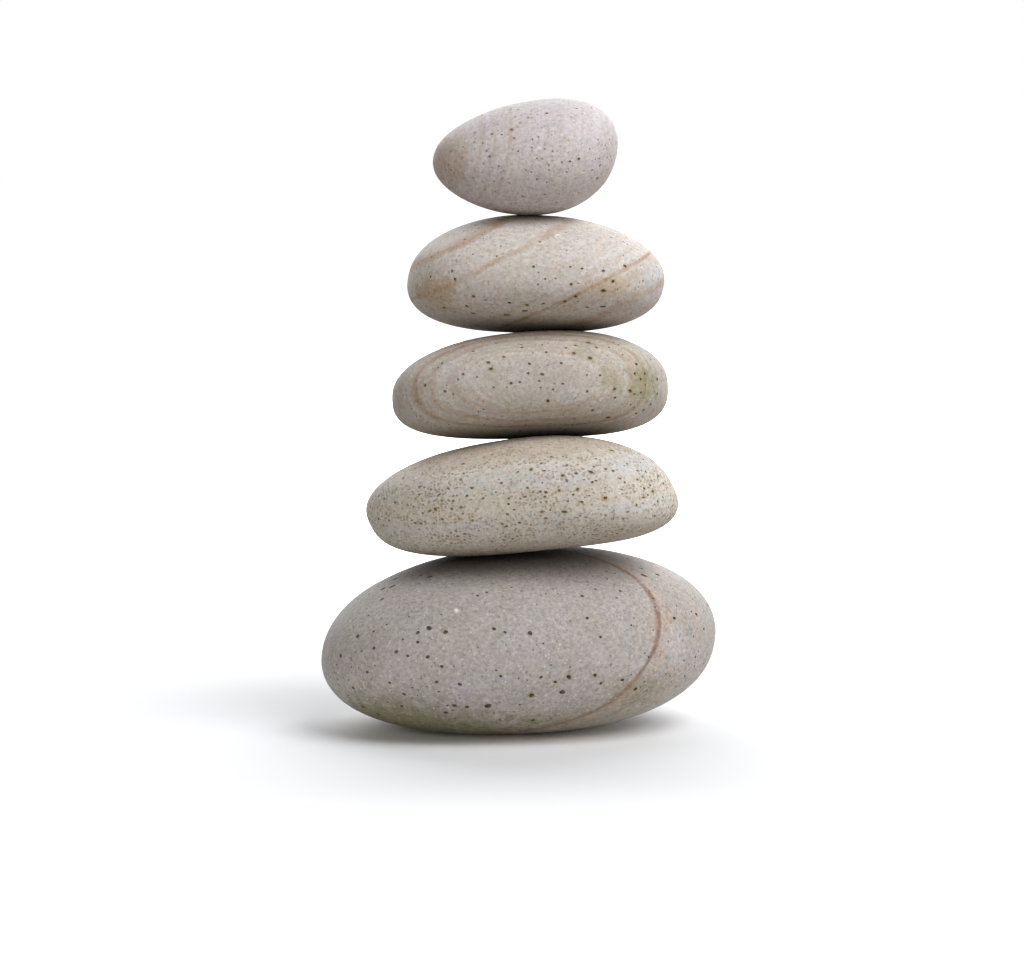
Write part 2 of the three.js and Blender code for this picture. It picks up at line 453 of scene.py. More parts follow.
class PebbleTree:
    """The Geometry Nodes tree that swells a ball into a pebble and cuts pits into its skin."""

    # The least distances between pits, in metres: among themselves, and from those placed before them.
    COARSE_SPACING = 0.0035
    COARSE_FROM_MARKS = 0.003
    FINE_SPACING = 0.0011
    FINE_FROM_MARKS = 0.0016
    FINE_FROM_COARSE = 0.002
    # How strongly small pits outnumber large ones.
    SMALLNESS = 2.4
    # How far the skin has to face back, by its direction's y, for coarse pits to be strewn there: the near
    # face has its coarse pits in places of their own.
    TURNED_AWAY = (-0.3, 0.0)
    # Where streaks of fine pits start and are full, where their belt thins out, and the share outside it.
    STREAK_EDGES = (0.38, 0.66)
    BELT_EDGES = (0.7, 1.15)
    OUTSIDE_BELT = 0.12
    # Where rust and moss start to fade and are gone, by a pit's radius.
    HALO_EDGES = (0.9, 2.2)
    # A pit's ball: how far it is sunk, by its radius, how rough it is, and from what radius it is rounder.
    SINK = 0.12
    BUMPS_PER_METRE = 1400.0
    BUMP_HEIGHT = 0.9
    ROUNDER_FROM = 0.0004
    # How sharp an edge has to be to count as a pit's rim, in radians.
    RIM_ANGLE = 0.6
    # Where the random numbers of each kind start.
    COARSE_SEED = 10
    FINE_SEED = 20
    LINE_SEED = 40
    SINKING_SEED = 41

    def __init__(self) -> None:
        """Builds the tree once, for every stone to use with its own sizes."""
        self.tree = bpy.data.node_groups.new("pitted_pebble", "GeometryNodeTree")
        self.graph = Graph(self.tree)
        sockets = [Socket("Marks", "NodeSocketGeometry"), Socket("Fineness", "NodeSocketInt", FINENESS)]
        sockets += [Socket(name) for name in ("Length", "Depth", "Thickness", "Fullness", "Plan Fullness")]
        sockets += [Socket(name) for name in ("Bow", "Arch Fall", "Taper", "Heel", "Lean", "Skew")]
        sockets += [Socket("Swell"), Socket("Swell Size"), Socket("Ground", default=NO_GROUND)]
        sockets += [Socket("Coarse Density"), Socket("Fine Density")]
        sockets += [Socket(name) for name in ("Coarse Least", "Coarse Most", "Fine Least", "Fine Most")]
        sockets += [Socket("Belt"), Socket("Streak", "NodeSocketVector"), Socket("Clumping")]
        sockets += [Socket("Rust"), Socket("Moss"), Socket("Seed", "NodeSocketInt", 1)]
        sockets += [Socket("Finish", "NodeSocketMaterial")]
        for socket in sockets:
            socket.open_on(self.tree, "INPUT")
        Socket("Pebble", "NodeSocketGeometry").open_on(self.tree, "OUTPUT")
        entry = self.graph.node("NodeGroupInput")
        self.given = {s.name: Field(self.graph, entry.outputs[s.name]) for s in sockets}
        self.graph.node("NodeGroupOutput", {0: self.finished()})

    def store(self, geometry: Feed, name: str, value: Feed, domain: str, kind: str = "FLOAT") -> Field:
        """Writes a named attribute onto a geometry.

        Args:
            geometry: what to write on.
            name: the attribute's name.
            value: the value, which may vary.
            domain: POINT, EDGE or FACE.
            kind: the attribute's data type.

        Returns:
            The geometry with the attribute.
        """
        feeds = {"Geometry": geometry, "Name": name, "Value": value}
        return self.graph.field("GeometryNodeStoreNamedAttribute", feeds, domain=domain, data_type=kind)

    def named(self, name: str, kind: str = "FLOAT") -> Field:
        """Reads a named attribute."""
        return self.graph.field("GeometryNodeInputNamedAttribute", {"Name": name}, data_type=kind)

    def chance(self, low: Feed, high: Feed, seed: int) -> Field:
        """A number between two others, at random for each point."""
        feeds = {2: low, 3: high, "Seed": self.given["Seed"] + float(seed)}
        return self.graph.field("FunctionNodeRandomValue", feeds, 1, data_type="FLOAT")

    def position(self) -> Field:
        """Where each point is."""
        return self.graph.field("GeometryNodeInputPosition")

    def compared(self, value: Feed, test: str, limit: float) -> Field:
        """Whether a number passes a test against a limit, by the test's name."""
        feeds = {0: value, 1: limit}
        return self.graph.field("FunctionNodeCompare", feeds, operation=test, data_type="FLOAT")

    def pebble(self) -> Field:
        """Swells a ball into the pebble's smooth form, with slight lumps, and wears it level at the ground.

        Returns:
            The form's mesh.
        """
        g, given = self.graph, self.given
        ball = g.field("GeometryNodeMeshIcoSphere", {"Radius": 1.0, "Subdivisions": given["Fineness"]})
        direction = g.vector("NORMALIZE", self.position())
        x, y, z = g.split(direction)
        fullness, plan = given["Fullness"], given["Plan Fullness"]
        outline = abs(x) ** fullness + abs(z) ** fullness
        reach = (outline ** (plan / fullness) + abs(y) ** plan) ** (-1.0 / plan)
        along = reach * x
        wedge = 1 + given["Taper"] * along
        through = reach * y * wedge
        arch = given["Bow"] * (1 - along * along - given["Arch Fall"] * through * through)
        up = given["Thickness"] * 0.5 * reach * z * (wedge + given["Heel"] * reach * y) + arch
        across = given["Length"] * 0.5 * along + given["Lean"] * up
        back = given["Depth"] * 0.5 * through + given["Skew"] * across
        skin = g.join(across, back, up)
        lumps = g.noise(skin, scale=1 / given["Swell Size"], detail=1.0) - 0.5
        skin = g.vector("ADD", skin, g.scaled(direction, lumps * 2.0 * given["Swell"]))
        across, back, up = g.split(skin)
        skin = g.join(across, back, g.math("MAXIMUM", up, given["Ground"]))
        return g.field("GeometryNodeSetPosition", {"Geometry": ball, "Position": skin})

    def landmarks(self, pebble: Feed) -> Field:
        """Moves the pits with a place of their own straight back onto the skin.

        Args:
            pebble: the skin they lie on.

        Returns:
            Points with the size, direction and lining of each pit.
        """
        g = self.graph
        feeds = {"Target Geometry": pebble, "Ray Direction": (0.0, 1.0, 0.0), "Ray Length": 1.0}
        ray = g.node("GeometryNodeRaycast", feeds)
        marks = self.store(self.given["Marks"], "facing", ray.outputs["Hit Normal"], "POINT", "FLOAT_VECTOR")
        feeds = {"Geometry": marks, "Position": ray.outputs["Hit Position"]}
        return g.field("GeometryNodeSetPosition", feeds)

    def strewn(
        self, pebble: Feed, density: Feed, factor: Feed, spacing: float, least: Feed, most: Feed, seed: int
    ) -> Field:
        """Pits at random places.

        Args:
            pebble: the skin they lie on.
            density: how many to a square metre where they are thickest.
            factor: the share of that density at each place.
            spacing: the least distance between two, in metres.
            least: the smallest diameter.
            most: the largest diameter.
            seed: which random pattern.

        Returns:
            Points with the size, direction and lining of each pit.
        """
        g, given = self.graph, self.given
        feeds = {"Mesh": pebble, "Distance Min": spacing, "Density Max": density, "Density Factor": factor}
        feeds["Seed"] = given["Seed"] + float(seed)
        strewn = g.node("GeometryNodeDistributePointsOnFaces", feeds, distribute_method="POISSON")
        points, normal = strewn.outputs["Points"], strewn.outputs["Normal"]
        points = self.store(points, "facing", normal, "POINT", "FLOAT_VECTOR")
        share = self.chance(0.0, 1.0, seed + 1) ** self.SMALLNESS
        points = self.store(points, "radius", (least + (most - least) * share) * 0.5, "POINT")
        points = self.store(points, "stretch", self.chance(1.0, 1.5, seed + 2), "POINT")
        points = self.store(points, "tone", g.ramp(share, 0.0, 0.6, 0.3, 0.9), "POINT")
        rust = g.ramp(self.chance(0.0, 1.0, seed + 3), 1 - given["Rust"], 1.02 - given["Rust"])
        points = self.store(points, "rust", rust * self.chance(0.4, 1.0, seed + 4), "POINT")
        moss = g.ramp(self.chance(0.0, 1.0, seed + 5), 1 - given["Moss"], 1.02 - given["Moss"])
        return self.store(points, "moss", moss * self.chance(0.4, 1.0, seed + 6), "POINT")

    def apart(self, points: Feed, others: Feed, distance: float) -> Field:
        """Takes away the points that lie too near to some others.

        Args:
            points: what to thin out.
            others: what to keep clear of.
            distance: the least distance, in metres.

        Returns:
            The points that are left.
        """
        g = self.graph
        feeds = {0: others, "Sample Position": self.position()}
        near = g.field("GeometryNodeProximity", feeds, "Distance", target_element="POINTS")
        feeds = {"Geometry": points, "Selection": self.compared(near, "LESS_THAN", distance)}
        return g.field("GeometryNodeDeleteGeometry", feeds, domain="POINT")

    def pit_points(self, pebble: Feed) -> Field:
        """Places every pit of the stone, clear of the others.

        Args:
            pebble: the skin they lie on.

        Returns:
            Points with the size, direction and lining of each pit.
        """
        g, given = self.graph, self.given
        marks = self.landmarks(pebble)
        _, facing, _ = g.split(g.field("GeometryNodeInputNormal"))
        out_of_sight = g.ramp(facing, *self.TURNED_AWAY)
        sizes = given["Coarse Least"], given["Coarse Most"]
        spacing, seed = self.COARSE_SPACING, self.COARSE_SEED
        coarse = self.strewn(pebble, given["Coarse Density"], out_of_sight, spacing, *sizes, seed)
        coarse = self.apart(coarse, marks, self.COARSE_FROM_MARKS)
        spot = self.position()
        _, _, up = g.split(spot)
        streaks = g.noise(g.vector("DIVIDE", spot, given["Streak"]))
        streaks = g.ramp(streaks, *self.STREAK_EDGES, 1 - given["Clumping"], 1.0)
        belt = g.ramp(abs(up) / given["Belt"], *self.BELT_EDGES, 1.0, self.OUTSIDE_BELT)
        sizes = given["Fine Least"], given["Fine Most"]
        spacing, seed = self.FINE_SPACING, self.FINE_SEED
        fine = self.strewn(pebble, given["Fine Density"], streaks * belt, spacing, *sizes, seed)
        fine = self.apart(fine, marks, self.FINE_FROM_MARKS)
        fine = self.apart(fine, coarse, self.FINE_FROM_COARSE)
        return self.joined([marks, coarse, fine])

    def joined(self, parts: Sequence[Feed]) -> Field:
        """Joins several geometries into one.

        Args:
            parts: the geometries, in order.

        Returns:
            The one geometry.
        """
        made = self.graph.node("GeometryNodeJoinGeometry")
        for part in parts:
            self.graph.feed(made.inputs[0], part)
        return Field(self.graph, made.outputs[0])

    def cutters(self, points: Feed) -> Field:
        """Makes a small rough ball for each pit, sunk a little under the skin and lying along the stone.

        Args:
            points: the pits.

        Returns:
            The balls, as one mesh.
        """
        g = self.graph
        radius, stretch = self.named("radius"), self.named("stretch")
        facing = self.named("facing", "FLOAT_VECTOR")
        feeds = {"Geometry": points, "Offset": g.scaled(facing, radius * -self.SINK)}
        sunk = g.field("GeometryNodeSetPosition", feeds)
        turn = g.field("FunctionNodeAlignRotationToVector", {"Vector": facing}, axis="Z")
        feeds = {"Rotation": turn, "Vector": g.join(1.0, 0.0, self.chance(-0.6, 0.6, self.LINE_SEED))}
        turn = g.field("FunctionNodeAlignRotationToVector", feeds, axis="X", pivot_axis="Z")
        sinking = radius * self.named("tone") * self.chance(0.7, 1.2, self.SINKING_SEED)
        size = g.join(radius * stretch, radius / stretch**0.5, sinking)
        sets = []
        for fineness, test in ((1, "LESS_THAN"), (2, "GREATER_EQUAL")):
            ball = g.field("GeometryNodeMeshIcoSphere", {"Radius": 1.0, "Subdivisions": fineness})
            chosen = self.compared(radius, test, self.ROUNDER_FROM)
            feeds = {"Points": sunk, "Selection": chosen, "Instance": ball, "Rotation": turn, "Scale": size}
            sets.append(g.field("GeometryNodeInstanceOnPoints", feeds))
        balls = g.field("GeometryNodeRealizeInstances", {"Geometry": self.joined(sets)})
        rough = g.noise(self.position(), scale=self.BUMPS_PER_METRE, detail=1.0) - 0.5
        outward = g.field("GeometryNodeInputNormal")
        shift = g.scaled(outward, rough * self.named("radius") * self.BUMP_HEIGHT)
        balls = g.field("GeometryNodeSetPosition", {"Geometry": balls, "Offset": shift})
        return self.store(balls, "pit", self.named("tone"), "FACE")

    def haloed(self, stone: Feed, points: Feed) -> Field:
        """Writes rust and moss on the stone, strongest in each pit and fading round its rim.

        Args:
            stone: the pitted stone.
            points: the pits.

        Returns:
            The stone with the attributes "rust" and "moss".
        """
        g = self.graph
        nearest = g.field("GeometryNodeSampleNearest", {"Geometry": points}, domain="POINT")

        def from_pit(value: Feed, kind: str = "FLOAT") -> Field:
            """A pit's own value, at every place that is nearest to it."""
            feeds = {"Geometry": points, "Value": value, "Index": nearest}
            return g.field("GeometryNodeSampleIndex", feeds, data_type=kind, domain="POINT")

        centre = from_pit(self.position(), "FLOAT_VECTOR")
        far = g.vector("DISTANCE", self.position(), centre, output=1) / from_pit(self.named("radius"))
        fade = g.ramp(far, *self.HALO_EDGES, 1.0, 0.0)
        for name in ("rust", "moss"):
            stone = self.store(stone, name, from_pit(self.named(name)) * fade, "POINT")
        return stone

    def finished(self) -> Field:
        """Cuts the pits, smooths the stone but for their rims, and puts on its finish.

        Returns:
            The finished mesh.
        """
        g = self.graph
        pebble = self.pebble()
        points = self.pit_points(pebble)
        feeds = {"Mesh 1": self.store(pebble, "pit", 0.0, "FACE"), "Mesh 2": self.cutters(points)}
        stone = g.field("GeometryNodeMeshBoolean", feeds, operation="DIFFERENCE", solver="MANIFOLD")
        stone = self.haloed(stone, points)
        angle = g.field("GeometryNodeInputMeshEdgeAngle")
        rims = self.compared(angle, "GREATER_THAN", self.RIM_ANGLE)
        stone = g.field("GeometryNodeSetShadeSmooth", {"Geometry": stone, "Shade Smooth": True})
        stone = self.store(stone, "sharp_edge", rims, "EDGE", "BOOLEAN")
        stone = g.field("GeometryNodeRealizeInstances", {"Geometry": stone})
        return g.field("GeometryNodeSetMaterial", {"Geometry": stone, "Material": self.given["Finish"]})


@dataclass(frozen=True)
class Vein:
    """A stained layer in a stone: its depth across the bedding and its width in millimetres."""

    offset: float
    width: float
    strength: float
    colour: Colour
    breaks: float = 0.35


@dataclass(frozen=True)
class Stain:
    """A ragged patch of colour, placed in millimetres from the stone's centre."""

    centre: Triple
    reach: Triple
    strength: float
    colour: Colour
    raggedness: float = 0.4


@dataclass(frozen=True)
class Speckle:
    """Stained grains: their size and that of their streaks in millimetres, and the share that is stained."""

    size: Triple
    share: float
    streak: Triple
    strength: float
    colour: Colour


@dataclass(frozen=True)
class SandstoneFinish:
    """A stone's colour, layers, grain and stains."""

    ground: Colour
    band: Colour
    band_strength: float
    bedding: Triple
    spacing: float
    waviness: float
    veins: tuple[Vein, ...] = ()
    stains: tuple[Stain, ...] = ()
    speckles: tuple[Speckle, ...] = ()
    grain: float = 0.7
    grain_contrast: float = 0.21
    grain_tint: float = 0.08
    dark_grains: float = 0.3
    pale_grains: float = 0.25
    cloud_size: float = 14.0
    mottling: float = 0.1
    yellowing: float = 0.3
    roughness: float = 0.82
    smoother: float = 0.06
    rougher: float = 0.08
    shine: float = 0.3
    bump: float = 0.35
    bump_height: float = 0.00012
    lining: float = 0.5
    pit_shade: float = 0.7
    rust: Colour = (178, 144, 92)
    moss: Colour = (140, 134, 78)
    hollow: Colour = (60, 50, 36)
    # The near-black that the painted contact shade darkens the colour towards, where another stone comes
    # close.
    shade_colour: Colour = (32, 24, 18)
    pale: Colour = (236, 230, 224)

    def material(self, name: str, groups: ShaderGroups, place: Matrix) -> bpy.types.Material:
        """Makes the stone's material.

        Args:
            name: what the material is called.
            groups: the shared effects.
            place: how the stone lies, so that the pattern is laid out in the stone's own frame.

        Returns:
            The material.
        """
        made = bpy.data.materials.new(name)
        made.use_nodes = True
        g = Graph(made.node_tree)
        here = g.field("ShaderNodeTexCoord", output="Object")
        feeds = {"Vector": here, "Location": place.to_translation(), "Rotation": place.to_euler()}
        own = g.scaled(g.field("ShaderNodeMapping", feeds, vector_type="TEXTURE"), 1 / MM)

        def effect(tree: bpy.types.NodeTree, **feeds: Feed) -> dict[str, Field]:
            """Places a shared effect.

            Args:
                tree: the effect's group.
                **feeds: its inputs, by name in small letters.

            Returns:
                Its outputs, by name.
            """
            placed = g.node("ShaderNodeGroup", node_tree=tree)
            g.feed(placed.inputs["Position"], own)
            for key, value in feeds.items():
                g.feed(placed.inputs[key.title()], value)
            return {out.name: Field(g, out) for out in placed.outputs}

        def painted(name: str) -> Field:
            """An attribute of the mesh."""
            return g.field("ShaderNodeAttribute", output="Fac", attribute_name=name)

        grain = effect(groups.grain, grain=self.grain)
        layers = effect(groups.bedding, direction=self.bedding, spacing=self.spacing, waviness=self.waviness)
        cloud = effect(groups.mottle, size=self.cloud_size)["Cloud"]
        shown = layers["Band"] * g.ramp(cloud, 0.35, 0.6, 0.15, 1.0)
        colour = g.mix(shown * self.band_strength, linear(self.ground), linear(self.band))
        for stain in self.stains:
            shape = {"centre": stain.centre, "reach": stain.reach, "raggedness": stain.raggedness}
            mask = effect(groups.stain, **shape)["Mask"]
            colour = g.mix(mask * stain.strength, colour, linear(stain.colour))
        for vein in self.veins:
            shape = {"offset": vein.offset, "width": vein.width, "breaks": vein.breaks}
            mask = effect(groups.vein, depth=layers["Depth"], **shape)["Mask"]
            colour = g.mix(mask * vein.strength, colour, linear(vein.colour))
        for speckle in self.speckles:
            shape = {"size": speckle.size, "share": speckle.share, "streak": speckle.streak}
            mask = effect(groups.speckle, **shape)["Mask"]
            colour = g.mix(mask * speckle.strength, colour, linear(speckle.colour))
        colour = g.mix(painted("rust") * self.lining, colour, linear(self.rust))
        colour = g.mix(painted("moss") * self.lining, colour, linear(self.moss))
        tone = 1 + grain["Tone"] * self.grain_contrast + (cloud - 0.5) * 2.0 * self.mottling
        warm = grain["Warmth"] * self.grain_tint
        yellow = warm + (0.5 - cloud) * self.yellowing
        colour = g.mix(1.0, colour, g.join(tone + warm, tone, tone - yellow), "MULTIPLY")
        colour = g.mix(grain["Dark Grains"] * self.dark_grains, colour, linear(self.hollow))
        colour = g.mix(grain["Pale Grains"] * self.pale_grains, colour, linear(self.pale))
        colour = g.mix(painted("pit") * self.pit_shade, colour, linear(self.hollow))
        # Painted shade: the colour darkens towards a near-black where a neighbouring stone comes close,
        # standing in for the contact shadow.
        colour = g.mix(painted("seam"), colour, linear(self.shade_colour))
        feeds = {"Strength": self.bump, "Distance": self.bump_height, "Height": grain["Height"]}
        bump = g.field("ShaderNodeBump", feeds)
        low, high = self.roughness - self.smoother, self.roughness + self.rougher
        rough = g.ramp(grain["Tone"], -1.0, 1.0, low, high)
        feeds = {"Base Color": colour, "Roughness": rough, "Normal": bump, "Specular IOR Level": self.shine}
        surface = g.node("ShaderNodeBsdfPrincipled", feeds)
        g.node("ShaderNodeOutputMaterial", {"Surface": surface.outputs[0]})
        return made


@dataclass(frozen=True)
class ContactShade:
    """Painted shade on a stone where its neighbour comes close: a darkening of its colour that stands in for
    the contact shadow; the reach is in millimetres.
    """

    strength: float
    reach: float
    falloff: float = 1.5


@dataclass
class Stone:
    """One pebble of the stack: its form, its pits and its finish."""

    node: str
    form: PebbleForm
    finish: SandstoneFinish
    scatter: PitScatter
    pits: tuple[Pit, ...]
    # Painted shade on the stone's top and on its underside, where the neighbour above or below comes close.
    crown_shade: Optional[ContactShade] = None
    seat_shade: Optional[ContactShade] = None
    piece: Optional[bpy.types.Object] = field(default=None, init=False)

    def marks(self) -> bpy.types.Mesh:
        """Puts the pits with a place of their own in front of the stone.

        Returns:
            A mesh of loose points, with each pit's size and lining.
        """
        mesh = bpy.data.meshes.new(self.node + "_marks")
        ahead = -2 * self.form.depth * MM
        mesh.from_pydata([(p.across * MM, ahead, p.up * MM) for p in self.pits], [], [])
        columns = {
            "radius": [p.diameter * MM / 2 for p in self.pits],
            "stretch": [p.stretch for p in self.pits],
            "rust": [p.lining.value[0] for p in self.pits],
            "moss": [p.lining.value[1] for p in self.pits],
            "tone": [1.0] * len(self.pits),
        }
        for name, values in columns.items():
            mesh.attributes.new(name, "FLOAT", "POINT").data.foreach_set("value", values)
        return mesh

    def settings(self, ground: float) -> dict[str, Feed]:
        """The tree's inputs for this stone, in metres.

        Args:
            ground: the height in the stone's own frame at which it is worn level.

        Returns:
            Each input's value, by name.
        """
        form, strewn = self.form, self.scatter
        return {
            "Length": form.length * MM,
            "Depth": form.depth * MM,
            "Thickness": form.thickness * MM,
            "Fullness": form.fullness,
            "Plan Fullness": form.plan_fullness,
            "Bow": form.bow * MM,
            "Arch Fall": ARCH_FALL,
            "Taper": form.taper,
            "Heel": form.heel,
            "Lean": form.lean,
            "Skew": form.skew,
            "Swell": form.swell * MM,
            "Swell Size": form.swell_size * MM,
            "Ground": ground,
            "Coarse Density": strewn.coarse_density / MM**2,
            "Fine Density": strewn.fine_density / MM**2,
            "Coarse Least": strewn.coarse_diameters[0] * MM,
            "Coarse Most": strewn.coarse_diameters[1] * MM,
            "Fine Least": strewn.fine_diameters[0] * MM,
            "Fine Most": strewn.fine_diameters[1] * MM,
            "Belt": strewn.belt * MM,
            "Streak": [s * MM for s in strewn.streak],
            "Clumping": strewn.clumping,
            "Rust": strewn.rust,
            "Moss": strewn.moss,
            "Seed": strewn.seed,
        }

    def place(self) -> Matrix:
        """Lays the stone so that the middle and top of its box are those of the solid it stands for.

        Returns:
            The stone's turn and shift.
        """
        low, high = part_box(self.node)
        turn = self.form.turn()
        shape = np.array([self.skin(d) for d in self.directions()]) @ np.array(turn.to_3x3()).T
        middle = (shape.min(0) + shape.max(0)) / 2
        across = (low.x + high.x) / 2 - middle[0]
        back = (low.y + high.y) / 2 - middle[1]
        up = high.z - shape[:, 2].max()
        return Matrix.Translation(Vector((across, back, up))) @ turn

    @staticmethod
    def directions(count: int = 6000) -> np.ndarray:
        """Spreads unit directions evenly all round.

        Args:
            count: how many.

        Returns:
            One direction in each row.
        """
        k = np.arange(count) + 0.5
        z = 1 - 2 * k / count
        turn = k * math.pi * (3 - math.sqrt(5))
        ring = np.sqrt(1 - z * z)
        return np.stack([ring * np.cos(turn), ring * np.sin(turn), z], 1)

    def skin(self, direction: np.ndarray) -> list[float]:
        """Finds the pebble's skin in one direction from its centre.

        Args:
            direction: a unit vector.

        Returns:
            The point's three places, in metres.
        """
        f = self.form
        x, y, z = direction
        outline = abs(x) ** f.fullness + abs(z) ** f.fullness
        plan = f.plan_fullness
        reach = (outline ** (plan / f.fullness) + abs(y) ** plan) ** (-1 / plan)
        along = reach * x
        wedge = 1 + f.taper * along
        through = reach * y * wedge
        arch = f.bow * (1 - along**2 - ARCH_FALL * through**2)
        up = f.thickness / 2 * reach * z * (wedge + f.heel * reach * y) + arch
        across = f.length / 2 * along + f.lean * up
        return [across * MM, (f.depth / 2 * through + f.skew * across) * MM, up * MM]

    def build(self, tree: PebbleTree, groups: ShaderGroups) -> bpy.types.Object:
        """Makes the stone's mesh and finish.

        Args:
            tree: the tree that shapes and pits a pebble.
            groups: the effects that the finishes share.

        Returns:
            The finished piece, riding on the stack's one body.
        """
        place = self.place()
        maker = bpy.data.objects.new(self.node + "_maker", self.marks())
        bpy.context.scene.collection.objects.link(maker)
        modifier = maker.modifiers.new("pebble", "NODES")
        modifier.node_group = tree.tree
        sockets = tree.tree.interface.items_tree
        names = {socket.name: socket.identifier for socket in sockets if socket.in_out == "INPUT"}
        low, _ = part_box(self.node)
        ground = -place.to_translation().z if low.z < MM else NO_GROUND
        for name, value in self.settings(ground).items():
            modifier[names[name]] = value
        modifier[names["Finish"]] = self.finish.material(self.node + "_sandstone", groups, place)
        shaped = maker.evaluated_get(bpy.context.evaluated_depsgraph_get())
        mesh = bpy.data.meshes.new_from_object(shaped)
        bpy.data.objects.remove(maker)
        mesh.name = self.node + "_pebble"
        mesh.transform(place)
        self.piece = bpy.data.objects.new(self.node + "_pebble", mesh)
        bpy.context.scene.collection.objects.link(self.piece)
        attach(self.piece, "root")
        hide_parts(self.node)
        return self.piece

    def paint_contact_shade(self, other: "Stone", seam: Optional[ContactShade]) -> None:
        """Marks painted shade in the attribute "seam": the colour darkens where this stone comes close to a
        neighbour, standing in for the contact shadow.

        Args:
            other: the neighbour, already built.
            seam: how dark and how wide the painted shade is; nothing is marked without it.
        """
        if seam is None:
            return
        mesh, near = self.piece.data, other.piece.data
        skin = BVHTree.FromPolygons([v.co for v in near.vertices], [p.vertices for p in near.polygons])
        marks = mesh.attributes.get("seam") or mesh.attributes.new("seam", "FLOAT", "POINT")
        reach = seam.reach * MM
        for vertex, mark in zip(mesh.vertices, marks.data):
            gap = skin.find_nearest(vertex.co, reach)[3]
            if gap is not None:
                mark.value = max(mark.value, seam.strength * (1 - gap / reach) ** seam.falloff)


@dataclass(frozen=True)
class Panel:
    """A soft panel light that faces the stack, out of the camera's sight, in metres, degrees and watts.

    It stands round to the right of the camera by side, shines down by rise, and points at the height aim.
    """

    name: str
    side: float
    rise: float
    size: tuple[float, float]
    power: float
    aim: float
    tint: Triple
    distance: float = 1.6

    def build(self) -> None:
        """Hangs the light."""
        lamp = bpy.data.lights.new(self.name, "AREA")
        lamp.shape = "RECTANGLE"
        lamp.size, lamp.size_y = self.size
        lamp.energy = self.power
        lamp.color = self.tint
        stand = bpy.data.objects.new(self.name, lamp)
        side, rise = math.radians(self.side), math.radians(self.rise)
        away = Vector((math.sin(side) * math.cos(rise), -math.cos(side) * math.cos(rise), math.sin(rise)))
        stand.location = Vector((0, 0, self.aim)) + away * self.distance
        stand.visible_camera = False
        stand.rotation_euler = (-away).to_track_quat("-Z", "Y").to_euler()
        bpy.context.scene.collection.objects.link(stand)


@dataclass
class Studio:
    """The pale floor, soft light and camera, in metres and degrees.

    The floor's two tones, near the stack and far off, are those it lights the stack with. The camera sees one
    even tone instead, which glows more with the distance until it meets the white surround.
    """

    panels: tuple[Panel, ...] = (
        Panel("key", 46, 48, (1.2, 1.2), 20.5, 0.1, DAYLIGHT),
        Panel("front_fill", -28, 8, (1.2, 1.0), 12.5, 0.1, WARM_BOUNCE),
        Panel("right_side", 88, 3, (1.0, 1.0), 14.0, 0.1, WARM_BOUNCE),
        Panel("backdrop", 180, 12, (3.0, 2.4), 80.0, 0.6, DAYLIGHT),
    )
    eye: Triple = (-0.0023, -1.2, 0.1985)
    look_down: float = 5.855
    lens: float = 138.6
    sensor: float = 36.0
    floor_size: float = 12.0
    floor_tones: tuple[float, float] = (0.75, 0.03)
    floor_fade: tuple[float, float] = (0.06, 0.2)
    floor_tone_seen: float = 0.85
    floor_glow: float = 1.2
    glow_fade: tuple[float, float] = (0.04, 0.55)
    floor_roughness: float = 0.95
    surround_light: float = 0.02

    def build(self) -> None:
        """Sets up the floor, the lights, the background and the camera."""
        self.floor()
        for panel in self.panels:
            panel.build()
        self.background()
        self.camera()
        bpy.context.scene.view_settings.view_transform = "Standard"

    def floor(self) -> None:
        """Lays a plain pale floor that fades into the white surround, and throws little light back up."""
        half = self.floor_size / 2
        mesh = bpy.data.meshes.new("floor")
        corners = [(-half, -half, 0), (half, -half, 0), (half, half, 0), (-half, half, 0)]
        mesh.from_pydata(corners, [], [(0, 1, 2, 3)])
        paint = bpy.data.materials.new("floor_paint")
        paint.use_nodes = True
        g = Graph(paint.node_tree)
        seen = g.field("ShaderNodeLightPath", output="Is Camera Ray")
        away = g.vector("LENGTH", g.field("ShaderNodeTexCoord", output="Object"), output=1)
        tone = g.ramp(away, *self.floor_fade, *self.floor_tones)
        tone = tone + seen * (self.floor_tone_seen - tone)
        feeds = {"Base Color": g.join(tone, tone, tone), "Roughness": self.floor_roughness}
        feeds["Specular IOR Level"] = 0.0
        feeds["Emission Color"] = WHITE
        feeds["Emission Strength"] = seen * g.ramp(away, *self.glow_fade, 0.0, self.floor_glow)
        surface = g.node("ShaderNodeBsdfPrincipled", feeds)
        g.node("ShaderNodeOutputMaterial", {"Surface": surface.outputs[0]})
        mesh.materials.append(paint)
        plane = bpy.data.objects.new("floor", mesh)
        bpy.context.scene.collection.objects.link(plane)

    def background(self) -> None:
        """Sets up a white surround that is far dimmer as a light than as a backdrop."""
        world = bpy.data.worlds.new("surround")
        world.use_nodes = True
        g = Graph(world.node_tree)
        seen = g.field("ShaderNodeLightPath", output="Is Camera Ray")
        strength = self.surround_light + seen * (1 - self.surround_light)
        surround = g.node("ShaderNodeBackground", {"Color": WHITE, "Strength": strength})
        g.node("ShaderNodeOutputWorld", {"Surface": surround.outputs[0]})
        bpy.context.scene.world = world

    def camera(self) -> None:
        """Sets up a long lens a little above the stack's top, looking slightly down."""
        data = bpy.data.cameras.new("camera")
        data.lens = self.lens
        data.sensor_width = self.sensor
        eye = bpy.data.objects.new("camera", data)
        eye.location = self.eye
        eye.rotation_euler = (math.radians(90 - self.look_down), 0.0, 0.0)
        bpy.context.scene.collection.objects.link(eye)
        bpy.context.scene.camera = eye


